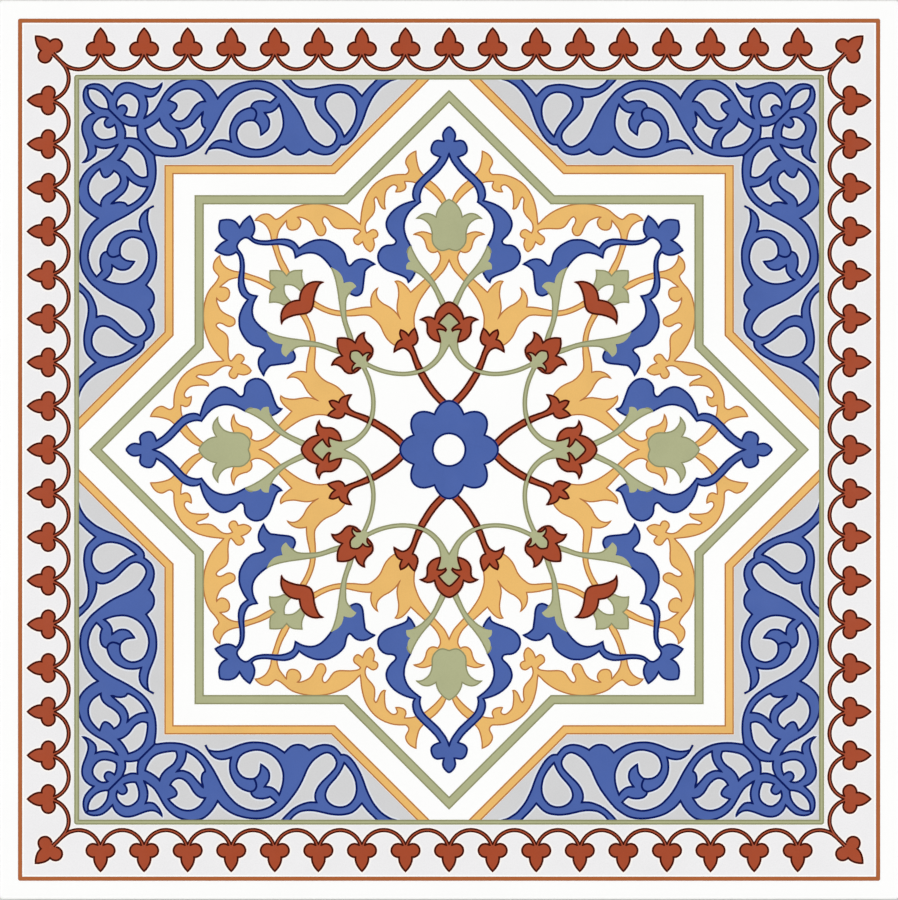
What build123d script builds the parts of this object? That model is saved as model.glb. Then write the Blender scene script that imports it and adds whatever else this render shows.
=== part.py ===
"""Square glazed floor tile, dust-pressed and fired as one piece of stoneware.

The origin is at the middle of the back, on the plane that the back's ribs stand on.
+Z points out of the glazed face, and X and Y run along the tile's edges.
"""

import os
from math import atan2, degrees

from build123d import *

# Driving dimensions, in millimetres
TILE_SIDE = 300.0  # edge to edge, measured across the upright land of the sides
TILE_THICKNESS = 9.5  # from the ribs of the back to the glazed face
FACE_EDGE_RADIUS = 0.8  # eased arris all round the glazed face
UPRIGHT_CORNER_RADIUS = 1.2  # corners of the press die, seen from above
EDGE_LAND_HEIGHT = 4.0  # upright band of each side, below the eased arris
EDGE_LEAN = 0.8  # how far each side leans in, from the land down to the back

# Keying of the back: a lattice of ribs with shallow pockets that grip the adhesive
BACK_RIM_WIDTH = 7.0  # plain rim between the outer pockets and the edge of the back
RIB_WIDTH = 5.0  # flat of each rib, where it meets the bed
POCKETS_PER_ROW = 10
POCKET_DEPTH = 0.9
POCKET_WALL_LEAN = 0.6  # how far a pocket narrows from its mouth to its floor
POCKET_CORNER_CUT = 3.0  # corner cut off each pocket, along either side of its mouth

# Sizes that follow from the driving dimensions
land_foot_z = TILE_THICKNESS - FACE_EDGE_RADIUS - EDGE_LAND_HEIGHT
back_side = TILE_SIDE - 2 * EDGE_LEAN
lattice_side = back_side - 2 * BACK_RIM_WIDTH
pocket_pitch = (lattice_side + RIB_WIDTH) / POCKETS_PER_ROW
pocket_side = pocket_pitch - RIB_WIDTH


def lean_angle(lean, height):
    """Angle from upright, in degrees, of a wall that leans by one distance over another."""
    return degrees(atan2(lean, height))


def pressed_body():
    """The plain slab: an upright land with an eased arris above, and a leaning foot below."""
    outline = RectangleRounded(TILE_SIDE, TILE_SIDE, UPRIGHT_CORNER_RADIUS)
    land_plane = Plane.XY.offset(land_foot_z)
    land = extrude(land_plane * outline, TILE_THICKNESS - land_foot_z)
    foot = extrude(
        land_plane * outline,
        -land_foot_z,
        taper=lean_angle(EDGE_LEAN, land_foot_z),
    )
    slab = land + foot
    face_rim = slab.faces().sort_by(Axis.Z)[-1].edges()
    return fillet(face_rim, FACE_EDGE_RADIUS)


def back_pockets():
    """All the pockets of the back: squares with cut corners, narrowing from the mouth to the floor."""
    square = Rectangle(pocket_side, pocket_side)
    mouth = chamfer(square.vertices(), POCKET_CORNER_CUT)
    grid = GridLocations(pocket_pitch, pocket_pitch, POCKETS_PER_ROW, POCKETS_PER_ROW)
    pocket = extrude(
        mouth,
        POCKET_DEPTH,
        taper=lean_angle(POCKET_WALL_LEAN, POCKET_DEPTH),
    )
    return [place * pocket for place in grid]


tile = pressed_body() - back_pockets()
tile.label = "tile"

os.makedirs("parts", exist_ok=True)
export_step(tile, "parts/tile.step")
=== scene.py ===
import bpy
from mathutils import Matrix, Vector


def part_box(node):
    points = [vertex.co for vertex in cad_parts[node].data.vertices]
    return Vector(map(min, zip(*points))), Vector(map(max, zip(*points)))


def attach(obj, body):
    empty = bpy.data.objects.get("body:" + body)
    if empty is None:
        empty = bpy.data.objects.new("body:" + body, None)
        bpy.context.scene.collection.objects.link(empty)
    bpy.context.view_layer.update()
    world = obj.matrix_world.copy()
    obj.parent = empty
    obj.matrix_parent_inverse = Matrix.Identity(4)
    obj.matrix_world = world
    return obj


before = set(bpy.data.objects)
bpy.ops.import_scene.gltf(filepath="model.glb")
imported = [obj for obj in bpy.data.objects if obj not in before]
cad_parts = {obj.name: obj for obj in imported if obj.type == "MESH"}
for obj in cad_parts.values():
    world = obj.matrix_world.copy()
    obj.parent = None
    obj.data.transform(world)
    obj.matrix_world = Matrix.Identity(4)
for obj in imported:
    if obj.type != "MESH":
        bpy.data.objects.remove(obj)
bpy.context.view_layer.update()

import bpy
import numpy as np
from mathutils.geometry import delaunay_2d_cdt

# The slab is stoneware, dust-pressed in a steel die and fired hard, with a ribbed back to grip its bed.
# White glaze is poured over the face; it rolls over the eased arris and stops in an uneven line on the sides.
# Below that line, and on the back, the bare buff clay shows its grains.
white_glaze_tint = (253, 253, 252)
bare_clay_tint = (196, 182, 161)
clay_shade_tint = (171, 155, 133)
iron_grain_tint = (116, 92, 70)
glaze_run = 0.0026  # how far the glaze comes down the sides, in metres
glaze_wander = 0.0011  # how far its edge wanders up and down
glaze_fade = 0.00025  # half the height over which that edge thins out
# painted shade: a darker grey laid on the lower arris and just below it, where the eased edge turns away from
# the face
arris_shade_tint = (158, 152, 145)
arris_drop = 0.0008  # from the face down to the foot of the eased arris, over which a darker grey is painted as shade
wander_patch, clay_patch, grain_patch, milk_patch = 0.009, 0.012, 0.0007, 0.03  # about how wide, in metres
grain_cover, grain_start, grain_full = 0.75, 0.66, 0.72  # iron grains show on the peaks of a noise
clay_roughness, glaze_roughness, glaze_shine = 0.85, 0.3, 0.4
skin_patch, skin_depth = 0.0016, 0.00006


def pigment(tint, strength=1.0):
    """A tint given as it looks, 0 to 255, as the light it throws back: the standard display curve, undone."""
    seen = np.asarray(tint) / 255
    light = np.where(seen <= 0.04045, seen / 12.92, ((seen + 0.055) / 1.055) ** 2.4)
    return (*np.clip(light * strength, 0, 1).tolist(), 1.0)


def finish_nodes(name):
    """A new finish: its node tree, its shader, and the place on the piece that every pattern reads."""
    finish = bpy.data.materials.new(name)
    finish.use_nodes = True
    tree = finish.node_tree
    place = tree.nodes.new("ShaderNodeTexCoord").outputs["Object"]
    return finish, tree, tree.nodes["Principled BSDF"], place


def noise(tree, place, grain, detail=2.0):
    """A soft random pattern whose patches are about one grain (in metres) across."""
    pattern = tree.nodes.new("ShaderNodeTexNoise")
    pattern.inputs["Scale"].default_value = 1 / grain
    pattern.inputs["Detail"].default_value = detail
    tree.links.new(place, pattern.inputs["Vector"])
    return pattern.outputs["Fac"]


def shades(tree, factor, stops):
    """Tints along a factor from 0 to 1, blended evenly from each stop to the next."""
    ramp = tree.nodes.new("ShaderNodeValToRGB")
    elements = ramp.color_ramp.elements
    while len(elements) < len(stops):
        elements.new(0.5)
    for element, (at, colour) in zip(elements, stops):
        element.position = at
        element.color = colour
    tree.links.new(factor, ramp.inputs["Fac"])
    return ramp.outputs["Color"]


def blend(tree, factor, first, second, way="MIX"):
    """One colour laid over another by a factor; way names how, such as a plain mix or a multiply."""
    mix = tree.nodes.new("ShaderNodeMix")
    mix.data_type = "RGBA"
    mix.blend_type = way
    colour_sockets = [socket for socket in mix.inputs if socket.type == "RGBA"]
    for socket, value in zip([mix.inputs[0]] + colour_sockets, (factor, first, second)):
        if hasattr(value, "is_linked"):
            tree.links.new(value, socket)
        else:
            socket.default_value = value
    return next(socket for socket in mix.outputs if socket.type == "RGBA")


def spread(tree, factor, low, high, start=0.3, end=0.7):
    """A number that goes evenly from low to high while the factor goes from start to end."""
    scale = tree.nodes.new("ShaderNodeMapRange")
    for name, value in zip(("From Min", "From Max", "To Min", "To Max"), (start, end, low, high)):
        scale.inputs[name].default_value = value
    tree.links.new(factor, scale.inputs["Value"])
    return scale.outputs["Result"]


def relief(tree, shader, height, depth, share=0.35):
    """Small bumps of a surface: the pattern's full height stands for depth, in metres, and a share shows."""
    bump = tree.nodes.new("ShaderNodeBump")
    bump.inputs["Strength"].default_value = share
    bump.inputs["Distance"].default_value = depth
    tree.links.new(height, bump.inputs["Height"])
    tree.links.new(bump.outputs["Normal"], shader.inputs["Normal"])


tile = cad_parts["tile"]
tile_low, tile_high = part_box("tile")
face_height = tile_high.z

tile_finish, tree, shader, place = finish_nodes("white_glaze_on_stoneware")
split = tree.nodes.new("ShaderNodeSeparateXYZ")
tree.links.new(place, split.inputs["Vector"])
wander = spread(tree, noise(tree, place, wander_patch, 3), -glaze_wander, glaze_wander)
reach = tree.nodes.new("ShaderNodeMath")
reach.operation = "ADD"
tree.links.new(split.outputs["Z"], reach.inputs[0])
tree.links.new(wander, reach.inputs[1])
glaze_foot = face_height - glaze_run
glazed = spread(tree, reach.outputs[0], 0, 1, glaze_foot - glaze_fade, glaze_foot + glaze_fade)
clay_shades = [(0.3, pigment(clay_shade_tint)), (0.7, pigment(bare_clay_tint))]
clay = shades(tree, noise(tree, place, clay_patch, 4), clay_shades)
grains = spread(tree, noise(tree, place, grain_patch, 1), 0, grain_cover, grain_start, grain_full)
clay = blend(tree, grains, clay, pigment(iron_grain_tint))
milk_shades = [(0.3, pigment(white_glaze_tint, 0.985)), (0.7, pigment(white_glaze_tint))]
milk = shades(tree, noise(tree, place, milk_patch), milk_shades)
# Painted shade on the arris: from near the face down past the arris's foot, the white turns towards a darker
# grey.
over_arris = spread(tree, split.outputs["Z"], 0, 1, face_height - 2 * arris_drop, face_height)
arris_shade_stops = [(0.3, 0), (0.5, 0.8), (0.72, 0.5), (0.9, 0)]  # 0.5 is the foot of the arris, 1 the face
painted_arris_shade = shades(tree, over_arris, [(at, (share, share, share, 1)) for at, share in arris_shade_stops])
milk = blend(tree, painted_arris_shade, milk, pigment(arris_shade_tint))
tree.links.new(blend(tree, glazed, clay, milk), shader.inputs["Base Color"])
gloss = spread(tree, glazed, clay_roughness, glaze_roughness, 0, 1)
tree.links.new(gloss, shader.inputs["Roughness"])
shader.inputs["Specular IOR Level"].default_value = glaze_shine
relief(tree, shader, noise(tree, place, skin_patch, 2), skin_depth)
tile.data.materials.clear()
tile.data.materials.append(tile_finish)

# Two ground glazes are brushed thinly on the white before any drawing: a pale grey in the border,
# and a deeper grey in the four corners that the star leaves inside its square.
# The whole drawing is set out in steps from the middle of the face, nine hundred to its width.
pale_grey_tint = (239, 238, 239)
grey_tint = (210, 210, 211)
steps_across = 900
step = (tile_high.x - tile_low.x) / steps_across
sunk = -0.04  # every lay starts a little under the face, in millimetres
ground_rise = 0.012
ground_mesh = 40  # between the inner points of a flat ground, in steps
sharp_angle = 35  # degrees between two faces of a lay, past which the edge between them stays sharp
ground_gap = 0.3  # the grey stops this short of the yellow star
ground_gloss = (0.3, 0.36)
drift_patch, pigment_grain, gloss_patch = 0.018, 0.00045, 0.006  # about how wide, in metres
ripple_patch, ripple_depth = 0.0021, 0.00005
border_outside, border_inside = 425.2, 375.6
green_square = 372.45  # half the side of the green square, at the middle of its line
yellow_star_inside, yellow_star_outside = 275.4, 284.8


def split_up(points, work):
    """The same sum for many points, a thousand at a time."""
    return np.concatenate([work(part) for part in np.array_split(points, len(points) // 1000 + 1)])


def within(points, start, end):
    """True for each point inside the loops of edges: a ray to the right meets an odd number of them."""
    def odd(part):
        p = part[:, None]
        above = (start.imag > p.imag) != (end.imag > p.imag)
        rise = np.where(end.imag == start.imag, 1, end.imag - start.imag)
        meets = start.real + (p.imag - start.imag) * (end.real - start.real) / rise
        return (above & (p.real < meets)).sum(axis=1) % 2 == 1
    return split_up(points, odd)


def distance(points, start, end):
    """How far each point is from the nearest edge: to the foot of its upright on it, or to its end."""
    run = end - start
    length = np.maximum(abs(run), 1e-9)
    def nearest(part):
        along = part[:, None] - start
        t = np.clip((along * run.conj()).real / length**2, 0, 1)
        return abs(along - t * run).min(axis=1)
    return split_up(points, nearest)


def plate(loops, rim, crown=0.0, mesh_size=4.5, soft=3.0):
    """A closed low plate inside a loop of points, less the loops after the first.
    A six-way grid of points fills it, Delaunay triangles join them, and the top stands at
    rim + crown * (1 - exp(-distance from the edge / soft)); upright walls and a flat underside close it."""
    start = np.concatenate(loops)
    end = np.concatenate([np.roll(loop, -1) for loop in loops])
    rows = np.arange(start.imag.min(), start.imag.max(), mesh_size * np.sqrt(0.75))
    columns = np.arange(start.real.min(), start.real.max() + mesh_size, mesh_size)
    grid = columns - (np.arange(len(rows)) % 2)[:, None] * mesh_size / 2 + 1j * rows[:, None]
    grid = grid.ravel()
    grid = grid[within(grid, start, end)]
    if len(grid):
        grid = grid[distance(grid, start, end) > 0.5 * mesh_size]
    points = np.concatenate([start, grid])
    first = np.concatenate([[0], np.cumsum([len(loop) for loop in loops])])
    rings = [np.arange(a, b) for a, b in zip(first, first[1:])]
    borders = [np.stack([ring, np.roll(ring, -1)], axis=1) for ring in rings]
    pairs = np.stack([points.real, points.imag], axis=1).tolist()
    found = delaunay_2d_cdt(pairs, np.concatenate(borders).tolist(), [], 0, 1e-4)
    flat = np.array([tuple(point) for point in found[0]]) @ (1, 1j)
    faces = np.array(found[2])
    a, b, c = flat[faces].T
    turn = ((b - a).conj() * (c - a)).imag
    faces = np.where(turn[:, None] > 0, faces, faces[:, ::-1])
    faces = faces[(abs(turn) > 1e-6) & within((a + b + c) / 3, start, end)]
    used, faces = np.unique(faces, return_inverse=True)
    faces = faces.reshape(-1, 3)
    flat = flat[used]
    count = len(flat)
    sides = np.concatenate([faces[:, [0, 1]], faces[:, [1, 2]], faces[:, [2, 0]]])
    open_sides = sides[~np.isin(sides[:, 0] * count + sides[:, 1], sides[:, 1] * count + sides[:, 0])]
    near, far = open_sides.T
    walls = np.concatenate([
        np.stack([near, near + count, far + count], axis=1),
        np.stack([near, far + count, far], axis=1),
    ])
    depth = 1 - np.exp(-distance(flat, start, end) / soft)
    height = np.concatenate([rim + crown * depth, np.full(count, sunk)])
    triangles = np.concatenate([faces, faces[:, ::-1] + count, walls])
    return np.tile(flat, 2), height, np.tile(depth, 2), triangles


def piece(name, shapes, finish):
    """One object of several shapes, from steps across the face and millimetres over it to metres."""
    offsets = np.cumsum([0] + [len(shape[0]) for shape in shapes])
    flat = np.concatenate([shape[0] for shape in shapes])
    height = np.concatenate([shape[1] for shape in shapes])
    depth = np.concatenate([shape[2] for shape in shapes])
    triangles = np.concatenate([shape[3] + offset for shape, offset in zip(shapes, offsets)])
    mesh = bpy.data.meshes.new(name)
    mesh.vertices.add(len(flat))
    mesh.loops.add(triangles.size)
    mesh.polygons.add(len(triangles))
    corners = np.stack([flat.real * step, flat.imag * step, face_height + height / 1000], axis=1)
    mesh.vertices.foreach_set("co", corners.ravel())
    mesh.loops.foreach_set("vertex_index", triangles.ravel().astype(np.int32))
    mesh.polygons.foreach_set("loop_start", np.arange(0, triangles.size, 3, dtype=np.int32))
    mesh.polygons.foreach_set("use_smooth", np.ones(len(triangles), bool))
    mesh.attributes.new("lay", "FLOAT", "POINT").data.foreach_set("value", depth.astype(np.float32))
    mesh.update(calc_edges=True)
    mesh.validate()
    mesh.set_sharp_from_angle(angle=np.radians(sharp_angle))
    mesh.materials.append(finish)
    made = bpy.data.objects.new(name, mesh)
    bpy.context.scene.collection.objects.link(made)
    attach(made, "root")


def enamel(name, tint, edge_tint=None, gloss=(0.28, 0.38), shine=0.35, thin=0.95, thick=1.03):
    """Fired enamel: the tint drifts between a thin and a thick lay over a couple of centimetres, pigment
    grains darken it a little, it turns to the edge tint where the lay runs out, and its skin throws back
    a share of light that goes with its shine, a lot for melted glass and little for a dry line."""
    finish, tree, shader, place = finish_nodes(name)
    lays = [(0.3, pigment(tint, thin)), (0.5, pigment(tint)), (0.72, pigment(tint, thick))]
    body = shades(tree, noise(tree, place, drift_patch, 3), lays)
    specks = [(0.35, (0.97, 0.97, 0.97, 1)), (0.6, (1, 1, 1, 1))]
    grains = shades(tree, noise(tree, place, pigment_grain, 1), specks)
    body = blend(tree, 1.0, body, grains, "MULTIPLY")
    if edge_tint:
        lay = tree.nodes.new("ShaderNodeAttribute")
        lay.attribute_name = "lay"
        body = blend(tree, lay.outputs["Fac"], pigment(edge_tint), body)
    tree.links.new(body, shader.inputs["Base Color"])
    tree.links.new(spread(tree, noise(tree, place, gloss_patch), *gloss), shader.inputs["Roughness"])
    shader.inputs["Specular IOR Level"].default_value = shine
    relief(tree, shader, noise(tree, place, ripple_patch, 2), ripple_depth)
    return finish


def corner_run(half_side):
    """One quarter of a star's edge, from the green square's top to its right side. Two equal squares, one
    turned by 45 degrees, make the star, and the green square cuts off its upright and level points."""
    reach = half_side * np.sqrt(2) - green_square
    notch = half_side * np.tan(np.radians(22.5))
    upper = np.array([reach + 1j * green_square, notch + 1j * half_side])
    return np.concatenate([upper, [half_side * (1 + 1j)], 1j * upper[::-1].conj()])


def around(shapes, both_hands=False):
    """Copies of each shape at the face's four quarter turns and, for both hands, of its mirror image."""
    copies = []
    for flat, height, depth, triangles in shapes:
        copies += [(flat * 1j**quarter, height, depth, triangles) for quarter in range(4)]
        if both_hands:
            copies += [(flat.conj() * 1j**quarter, height, depth, triangles[:, ::-1]) for quarter in range(4)]
    return copies


square_corners = np.array([1 + 1j, -1 + 1j, -1 - 1j, 1 - 1j])
pale_grey = enamel("pale_grey_glaze", pale_grey_tint, gloss=ground_gloss, thin=0.985, thick=1.01)
border_loops = [border_outside * square_corners, border_inside * square_corners]
border_ground = plate(border_loops, ground_rise, mesh_size=ground_mesh)
piece("border_ground", [border_ground], pale_grey)
grey = enamel("grey_glaze", grey_tint, gloss=ground_gloss, thin=0.975, thick=1.015)
corner_ground = np.append(corner_run(yellow_star_outside + ground_gap), green_square * (1 + 1j))
corner_grounds = around([plate([corner_ground[::-1]], ground_rise, mesh_size=ground_mesh)])
piece("corner_grounds", corner_grounds, grey)

# The frame is ruled with a brush against a straightedge: a brown line near the edge of the tile,
# and a green square that holds the star. Both are enamel, with darker edges where the brush let it pool.
brown_tint, brown_edge_tint = (174, 97, 48), (150, 80, 38)
green_tint, green_edge_tint = (174, 177, 136), (138, 139, 99)
brown_line = 429.0
brown_width = 4.2
green_square_width = 4.9
edge_width = 1.6
corner_softness, brown_softness = 1.4, 0.1
corner_points = 6
inner_rim_softness, outer_rim_softness = 0.4, 1.8
brown_top, green_square_top, green_rim_top = 0.05, 0.11, 0.125  # over the face, in millimetres
longest_mitre = 1.3  # how far a sharp corner reaches out, in half widths


def bead(path, width, top, closed=True, core=0.6, inset=0.0):
    """A low bead carried along a path: upright flanks up to a flat crown, at its full thickness over the
    core, which is a share of the width. Each row of points is the path moved sideways along the mitre of
    its corners, a closed one by the inset as well, towards the inside of its loop. Open runs get caps."""
    if closed:
        ahead, behind = np.roll(path, -1) - path, path - np.roll(path, 1)
        inset = inset * np.sign((path.conj() * np.roll(path, -1)).imag.sum())
    else:
        run = np.diff(path)
        ahead, behind = np.append(run, run[-1]), np.insert(run, 0, run[0])
    ahead, behind = ahead / abs(ahead), behind / abs(behind)
    along = ahead + behind + 1e-6 * 1j * ahead
    along = along / abs(along)
    mitre = np.minimum(1 / np.maximum((along * ahead.conj()).real, 0.05), longest_mitre)
    across = np.array([1, 0.97, core, 0, -core, -0.97, -1]) * width / 2 + inset
    rise = np.array([0, 0.86, 0.98, 1, 0.98, 0.86, 0])
    depth = np.array([0, 0.05, 1, 1, 1, 0.05, 0])
    flat = path[:, None] + (1j * along * mitre)[:, None] * across
    length, rows = flat.shape
    i, j = np.meshgrid(np.arange(length if closed else length - 1), np.arange(rows), indexing="ij")
    i, j = i.ravel(), j.ravel()
    i_next, j_next = (i + 1) % length, (j + 1) % rows
    a, b, c, d = i * rows + j, i * rows + j_next, i_next * rows + j_next, i_next * rows + j
    triangles = [np.stack([a, b, c], axis=1), np.stack([a, c, d], axis=1)]
    if not closed:
        fan = np.stack([np.zeros(rows - 2, int), np.arange(1, rows - 1), np.arange(2, rows)], axis=1)
        triangles += [fan[:, ::-1], fan + (length - 1) * rows]
    height = np.broadcast_to(sunk + (top - sunk) * rise, flat.shape)
    depth = np.broadcast_to(depth, flat.shape)
    return flat.ravel(), height.ravel(), depth.ravel(), np.concatenate(triangles)


def ruled_square(half_side, softness):
    """A square with its corners rounded by quarter circles."""
    turn = np.exp(1j * np.radians(np.linspace(0, 90, corner_points)))
    corner = (half_side - softness) * (1 + 1j) + softness * turn
    return np.concatenate([corner * 1j**quarter for quarter in range(4)])


brown = enamel("brown_line_enamel", brown_tint, brown_edge_tint)
brown_path = ruled_square(brown_line, brown_softness)
piece("brown_frame_line", [bead(brown_path, brown_width, brown_top)], brown)
green = enamel("green_enamel", green_tint)
green_edge = enamel("green_edge_enamel", green_edge_tint, green_tint)
green_path = ruled_square(green_square, corner_softness)
piece("green_square", [bead(green_path, green_square_width, green_square_top)], green)
rim_reach = (green_square_width - edge_width) / 2
inner_rim = ruled_square(green_square - rim_reach, inner_rim_softness)
outer_rim = ruled_square(green_square + rim_reach, outer_rim_softness)
green_rims = [bead(path, edge_width, green_rim_top) for path in (inner_rim, outer_rim)]
piece("green_square_edges", green_rims, green_edge)

# Two eight-pointed stars lie one inside the other, each a band of even width: an outer one in yellow enamel,
# whose upright and level points run out under the green square, and an inner one in green.
# Both bands are filled between two fine lines of a darker mix.
yellow_tint, yellow_edge_tint = (234, 185, 106), (180, 112, 58)
green_star_inside, green_star_outside = 245.25, 254.6
star_lay, star_mesh = (0.03, 0.015), 6  # rim and crown of a fill in millimetres, its inner points in steps
yellow_star_line, green_star_line = 0.06, 0.075


def star(half_side):
    """The sixteen corners of the star of two equal squares: points and notches by turns."""
    turn = np.radians(22.5) * np.arange(16)
    point, notch = half_side * np.sqrt(2), half_side / np.cos(np.radians(22.5))
    return np.where(np.arange(16) % 2 == 0, point, notch) * np.exp(1j * turn)


yellow = enamel("yellow_enamel", yellow_tint)
yellow_edge = enamel("yellow_edge_enamel", yellow_edge_tint, yellow_tint)
yellow_band = np.concatenate([corner_run(yellow_star_inside), corner_run(yellow_star_outside)[::-1]])
yellow_star = plate([yellow_band], *star_lay, mesh_size=star_mesh)
piece("yellow_star", around([yellow_star]), yellow)
yellow_rims = [yellow_star_inside + edge_width / 2, yellow_star_outside - edge_width / 2]
yellow_runs = [bead(corner_run(rim), edge_width, yellow_star_line, closed=False) for rim in yellow_rims]
piece("yellow_star_edges", around(yellow_runs), yellow_edge)
green_band = [star(green_star_outside), star(green_star_inside)]
piece("green_star", [plate(green_band, *star_lay, mesh_size=star_mesh)], green)
green_star_rims = [green_star_inside + edge_width / 2, green_star_outside - edge_width / 2]
green_runs = [bead(star(rim), edge_width, green_star_line) for rim in green_star_rims]
piece("green_star_edges", green_runs, green_edge)

# Inside the star, yellow lilies stand on the four axes and a yellow vine joins them through the corners.
# Each is drawn with a fine brown-yellow line, then flooded with enamel up to that line.
# One stroke of the drawing runs smoothly from its first point, a corner, to the next stroke's corner.
lily_half = [
    [(0, 190.2), (1.8, 185.6), (5.1, 179.6), (9.7, 174.3), (19.9, 163.1), (29.1, 149.8), (32.6, 141.9),
     (34.8, 134.4), (35.1, 127.8)],
    [(34.5, 122.3)],
    [(40, 108)],
    [(50, 103)],
    [(54.9, 104.9), (58.5, 107.4), (62.8, 112.1), (65.8, 117.5), (68.2, 122.9), (71.6, 127.6),
     (76, 131.5), (80.1, 134.1), (85.2, 134.7), (97, 133.9), (108.5, 134), (114, 134.7), (120, 136.2),
     (127, 138.9)],
    [(138, 144.8)],
    [(138, 150)],
    [(134, 148.2), (127.5, 144.3), (120, 141), (113.4, 139.2), (109, 138.7), (102.9, 138.9),
     (96.5, 140.2), (90, 141.6), (84, 142.4)],
    [(77.3, 142.6), (78.2, 147), (77.9, 152.1), (76.1, 156.7), (73.4, 159.9)],
    [(71.1, 162), (72.6, 158.4), (72.5, 154.4), (70.7, 150.3), (66, 146), (60, 142.7), (55.1, 138.9),
     (51.7, 135.2)],
    [(48.6, 130.4), (51, 136), (52, 141.8), (51.4, 148), (50.4, 154.4), (50.7, 160.3), (51.8, 165)],
    [(54, 168.2), (51, 168.6), (47.4, 167.1), (43.5, 163.7)],
    [(38.4, 157.2), (33.9, 161.4), (29.7, 165.3), (24.6, 169.9), (18.9, 174.5), (14.1, 179.4),
     (10.5, 185), (8.7, 190.7), (9, 194.6)],
    [(11.4, 198.6), (15.6, 197.2), (19.6, 198.4), (22.2, 201.8), (23.3, 206), (25.2, 210.5),
     (28.8, 213.8)],
    [(35.5, 215.1), (31, 217.1), (25.8, 217.8), (21.3, 216.8), (17.6, 215.3)],
    [(10, 212)],
    [(0, 208)],
]
vine = [
    [(2.4, 245.9), (4.1, 251), (6.4, 255.8), (9.7, 260.2), (13.2, 264.1), (18.7, 268.6), (24, 273),
     (29.4, 279.1), (31, 283), (32.2, 287.8), (33, 292.9)],
    [(33.1, 298.6), (36.1, 297.2), (39.3, 295.1), (42, 291.9), (43.3, 288.4), (43.1, 286), (41.6, 283),
     (40.3, 280.3), (40.5, 277.9), (42.3, 275.8)],
    [(44, 275.1), (50, 275.1), (55.2, 274.6), (60.9, 273.1), (66.6, 270.7), (72.3, 267.1), (77.4, 262),
     (81.3, 256.4), (84.2, 250.4), (86.1, 244.2), (87.5, 237), (88.2, 230.2)],
    [(88.8, 225.2), (91.5, 227.6), (95.4, 231.6), (100.1, 235.3), (105.9, 238.9), (112.2, 241.7),
     (117.9, 243.6), (125, 245.1), (133, 245.7), (141, 245.3), (149.4, 243.7), (155, 241.9),
     (160.2, 239.1), (164.9, 235.1), (169, 232)],
    [(173, 230.2), (174.5, 230.8), (177, 233.1), (180.3, 235.3), (184.4, 235.6), (188.4, 234.4),
     (191.8, 231.8)],
    [(194, 229.2), (191, 229.1), (187.7, 227.8), (183.6, 224.9), (180.7, 220.9), (178.5, 215.2),
     (177.7, 210.4), (176.8, 204.9), (175, 199.3), (172.6, 191.9), (169.6, 184.2), (166.4, 178.2)],
    [(162.3, 173.9)],
    [(159.7, 177.2), (162.9, 183.6), (166.6, 190.3), (169.2, 196.7), (170.8, 202.3), (171.9, 207),
     (172.1, 211.5), (171.3, 216.1), (169.5, 220.7), (166.7, 224.4), (164.4, 227.4)],
    [(162.6, 229.5), (162.5, 226.5), (162, 223.2), (159.9, 220.4), (156.5, 219.6), (152.3, 220.6),
     (149.4, 223.4), (148.3, 227.2), (149.4, 230.3)],
    [(152.1, 232.5), (148.6, 232.4), (144.2, 231), (139.8, 228.6), (136.7, 225.2), (134.6, 221.3),
     (133, 217.8), (130.9, 214.9), (128.1, 214), (125.5, 214.8), (123.8, 217.2), (123.2, 219.9),
     (124, 222.9), (125.8, 225.9), (126.8, 229.5), (126.2, 231.7), (124.3, 233), (121.8, 231.4),
     (119.5, 228.6), (117.1, 225), (114.2, 222.3), (110.3, 221.1), (105.7, 221), (100, 221.2),
     (95.2, 220.9), (91.6, 220.3), (89.5, 219.3)],
    [(88.5, 218.1), (89.8, 216.6), (91.9, 214.8), (94.3, 213), (95.4, 210.9), (95, 208.1), (93, 205.6),
     (90.7, 205), (88.3, 206.5)],
    [(86.4, 208.2), (85.6, 205.8), (84.1, 202.5), (81.7, 199.8)],
    [(78.9, 198), (76.9, 199.5), (75.6, 201.9), (74.8, 205.5), (75.4, 208.8)],
    [(75.9, 211.2), (73.6, 212), (71.7, 213.6), (71.3, 216), (73, 219), (75.7, 220.1), (77.8, 219.6),
     (79.9, 218.1)],
    [(82.5, 216.6), (83.8, 220), (83.9, 223.8), (82.6, 227.6), (79.9, 231.1), (76.9, 234.5),
     (74.9, 238.2), (74.4, 243), (74.6, 246.7), (75, 250.5), (73.2, 252.8), (71.4, 250.5), (69.9, 246.6),
     (67.8, 242.7), (65.5, 240.8)],
    [(63.7, 240.9), (64.4, 243), (64.6, 247.9), (64.2, 254), (63, 258.7), (60.7, 261.6), (58, 263.9),
     (55.2, 264.9), (52.5, 263.9), (51.7, 262), (52.4, 259.9)],
    [(53.4, 257.8), (50.1, 257.9), (47.4, 258.5), (44.7, 259.9), (43.3, 262.3), (43.3, 264.4),
     (44.2, 266.5)],
    [(44.5, 268.3), (41.4, 268.3), (37.2, 267.9), (33.6, 267), (24.3, 262.8), (19.2, 259), (14.1, 254.5),
     (10.5, 250.6)],
    [(6, 245)],
]
yellow_lay, yellow_line = (0.03, 0.015), 0.06  # rim and crown of the fill, top of the line, in millimetres


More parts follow.
